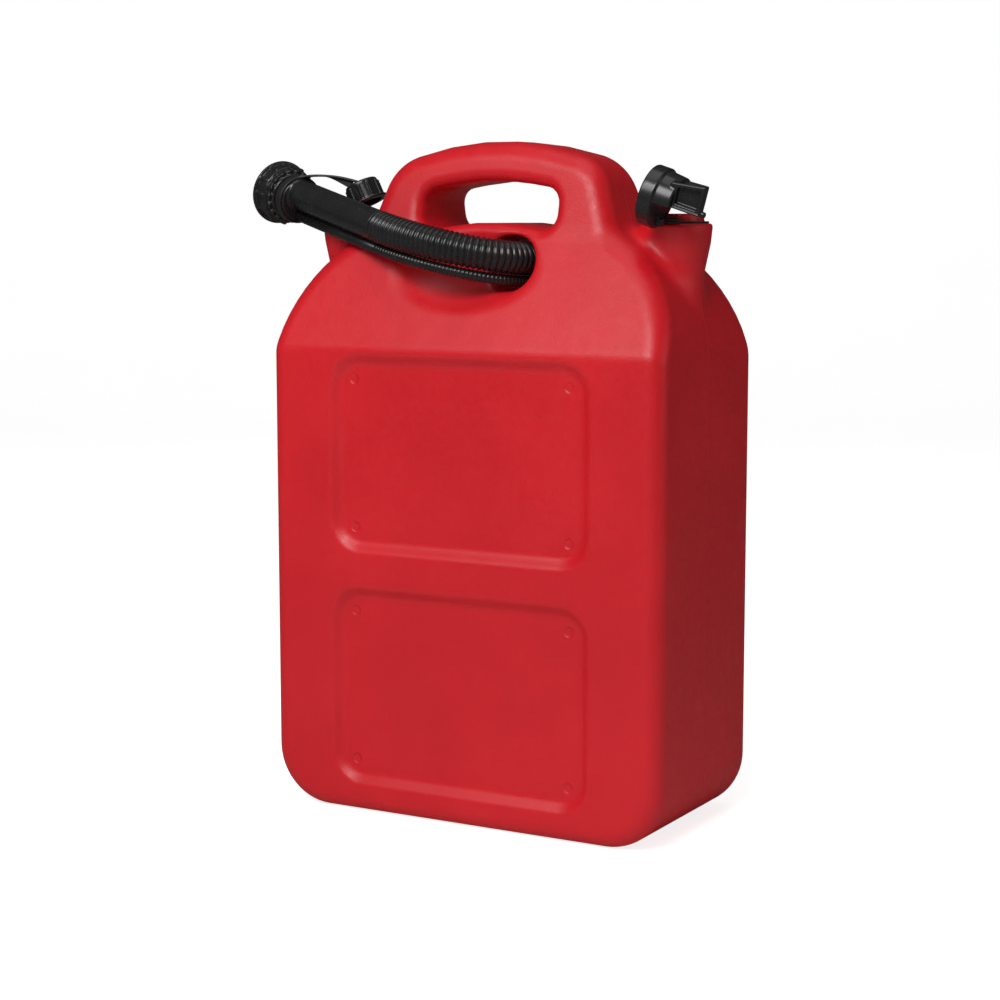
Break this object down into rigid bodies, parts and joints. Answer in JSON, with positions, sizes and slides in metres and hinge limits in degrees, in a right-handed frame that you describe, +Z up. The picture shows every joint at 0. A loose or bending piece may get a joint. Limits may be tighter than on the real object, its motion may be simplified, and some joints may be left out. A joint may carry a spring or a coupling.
{
  "type": "jerry can",
  "caption": "Upright plastic fuel can with moulded handle, recessed panels, capped necks at both shoulders and a flexible pouring spout stowed through the body.",
  "frame": {"origin": "centre of the flat base", "axes": "+Z up, +X towards the filler neck, -Y towards the front panels"},
  "size_m": [0.4039, 0.1691, 0.508],
  "materials": {
    "tank_red": "satin blow-moulded polyethylene with fine grain",
    "cap_black": "semi-gloss injection-moulded plastic",
    "spout_black": "satin flexible plastic",
    "strap_black": "satin flexible plastic",
    "seal_rubber": "matte"
  },
  "bodies": {
    "can": {"tank_body": "tank_red"},
    "spout": {"spout_adapter": "spout_black", "spout_hose": "spout_black", "spout_breather": "spout_black", "spout_nozzle": "spout_black", "spout_seal": "seal_rubber"},
    "collar": {"spout_collar": "cap_black"},
    "vent_strap": {"vent_tether": "strap_black", "vent_cap": "cap_black", "vent_cap_seal": "seal_rubber"},
    "filler_strap": {"filler_tether": "strap_black", "filler_tether_pin": "strap_black"},
    "wing_cap": {"filler_cap": "cap_black", "filler_cap_seal": "seal_rubber"}
  },
  "joints": [
    {"name": "spout_pull", "type": "slide", "parent": "can", "child": "spout", "axis": [0, -1, 0], "range_m": [0, 0.13]},
    {"name": "collar_spin", "type": "hinge", "parent": "spout", "child": "collar", "pos_m": [-0.20838, -0.00335, 0.47192], "axis": [0.8894, -0.4051, -0.2116], "continuous": true},
    {"name": "vent_strap_swing", "type": "hinge", "parent": "spout", "child": "vent_strap", "pos_m": [-0.18303, -0.0149, 0.4659], "axis": [0.8894, -0.4051, -0.2116], "range_deg": [0, 50]},
    {"name": "filler_strap_swivel", "type": "hinge", "parent": "can", "child": "filler_strap", "pos_m": [0.138, 0, 0.4475], "axis": [0, 0, 1], "range_deg": [-15, 50]},
    {"name": "filler_cap_tilt", "type": "hinge", "parent": "filler_strap", "child": "wing_cap", "pos_m": [0.14671, -0.02682, 0.4504], "axis": [0.9511, 0.309, 0], "range_deg": [0, 35]}
  ]
}
